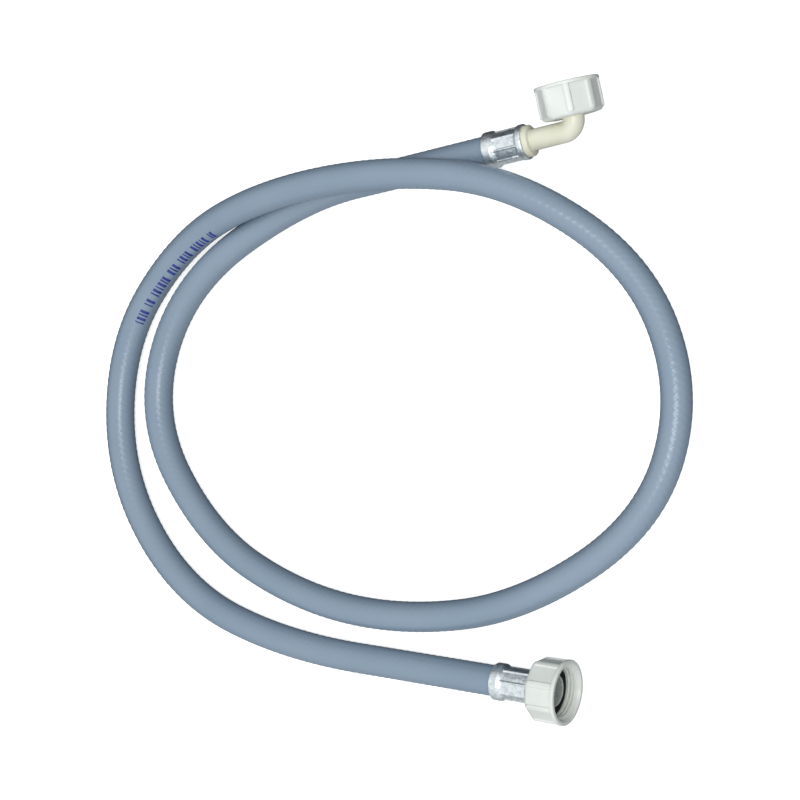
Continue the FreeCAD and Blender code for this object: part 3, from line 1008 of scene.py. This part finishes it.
def end_frame(end, before, x_hint):
    """Frame at a ferrule's hose side, with +Z along the hose's last run."""
    end, before = Vector(end), Vector(before)
    axis = (end - before).normalized()
    return local_frame(end - axis * INSERTION * MM, axis, x_hint)


def turned_frame(matrix, degrees):
    return matrix @ Matrix.Rotation(math.radians(degrees), 4, "Z")


def finish_piece(piece, body, slot, material, *nodes):
    piece.data.materials.append(material)
    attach(piece, body)
    if nodes:
        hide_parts(*nodes)


def build_hose():
    line, length, jacket, braid, liner = make_hose()
    marks = make_ink_marks(line)
    black = rubber_material("liner_black", LINER_COLOR)
    finish_piece(jacket, LINE_BODY, "hose_grey", jacket_material(), "hose_jacket")
    finish_piece(braid, LINE_BODY, "braid_textile", braid_material(), "hose_braid")
    finish_piece(liner, LINE_BODY, "liner_rubber", black, "hose_liner")
    finish_piece(marks, LINE_BODY, "hose_grey", ink_material())
    centre_line, _ = evenly_spaced(line, CORD_STEP * MM)


def build_sleeves(straight_end, elbow_end):
    """Both crimped ferrules."""
    zinc = zinc_material()
    place = turned_frame(straight_end, STRAIGHT_FERRULE_TURN)
    ferrule = make_ferrule("straight_ferrule_crimped", place, STRAIGHT_RING_LENGTH)
    finish_piece(ferrule, LINE_BODY, "ferrule_zinc", zinc, "straight_ferrule")
    place = turned_frame(elbow_end, ELBOW_FERRULE_TURN)
    ferrule = make_ferrule("elbow_ferrule_crimped", place, ELBOW_RING_LENGTH)
    finish_piece(ferrule, LINE_BODY, "ferrule_zinc", zinc, "elbow_ferrule")


def build_tails(straight_end, elbow_end, straight_nut):
    ivory = plastic_material("ivory_plastic", IVORY_COLORS, 0.34)
    nut_start = (straight_nut.translation - straight_end.translation).length / MM
    tail = make_straight_tail(straight_end, nut_start)
    finish_piece(tail, LINE_BODY, "tail_ivory", ivory, "straight_tail")
    finish_piece(make_elbow_tail(elbow_end), LINE_BODY, "tail_ivory", ivory, "elbow_tail")


def build_nuts(straight_nut, elbow_nut):
    white = plastic_material("white_plastic", WHITE_COLORS, 0.33)
    nut = make_nut("straight_nut_threaded", turned_frame(straight_nut, STRAIGHT_NUT_TURN))
    finish_piece(nut, "straight_union", "nut_white", white, "straight_nut")
    nut = make_nut("elbow_nut_threaded", turned_frame(elbow_nut, ELBOW_NUT_TURN))
    finish_piece(nut, "elbow_union", "nut_white", white, "elbow_nut")


def build_seals(straight_nut, elbow_nut):
    """Washer in each nut, and the strainer in the straight one."""
    rubber = rubber_material("washer_black", WASHER_COLOR)
    rim = plastic_material("strainer_rim_grey", STRAINER_RIM_COLORS, 0.4)
    wire = plastic_material("strainer_wire_grey", STRAINER_WIRE_COLORS, 0.45)
    washer = make_washer("straight_washer_ring", straight_nut)
    finish_piece(washer, LINE_BODY, "washer_rubber", rubber, "straight_washer")
    washer = make_washer("elbow_washer_ring", elbow_nut)
    finish_piece(washer, LINE_BODY, "washer_rubber", rubber, "elbow_washer")
    finish_piece(make_strainer_ring(straight_nut), LINE_BODY, "strainer_rim", rim, "strainer_ring")
    finish_piece(make_strainer_mesh(straight_nut), LINE_BODY, "strainer_grey", wire, "strainer_mesh")


def build():
    make_camera()
    build_hose()
    joints = {joint["name"]: joint for joint in frame["joints"]}
    straight_joint = joints["straight_nut_spin"]
    elbow_joint = joints["elbow_nut_spin"]
    up = Vector((0, 0, 1))
    straight_end = end_frame(HOSE_ROUTE[-1], HOSE_ROUTE[-2], up)
    elbow_end = end_frame(HOSE_ROUTE[0], HOSE_ROUTE[1], elbow_joint["axis"])
    straight_nut = local_frame(straight_joint["pos_m"], straight_joint["axis"], up)
    elbow_nut = local_frame(elbow_joint["pos_m"], elbow_joint["axis"], elbow_end.col[2].xyz)
    build_sleeves(straight_end, elbow_end)
    build_tails(straight_end, elbow_end, straight_nut)
    build_nuts(straight_nut, elbow_nut)
    build_seals(straight_nut, elbow_nut)
    make_stage()
    make_lights()


build()
bpy.context.view_layer.update()
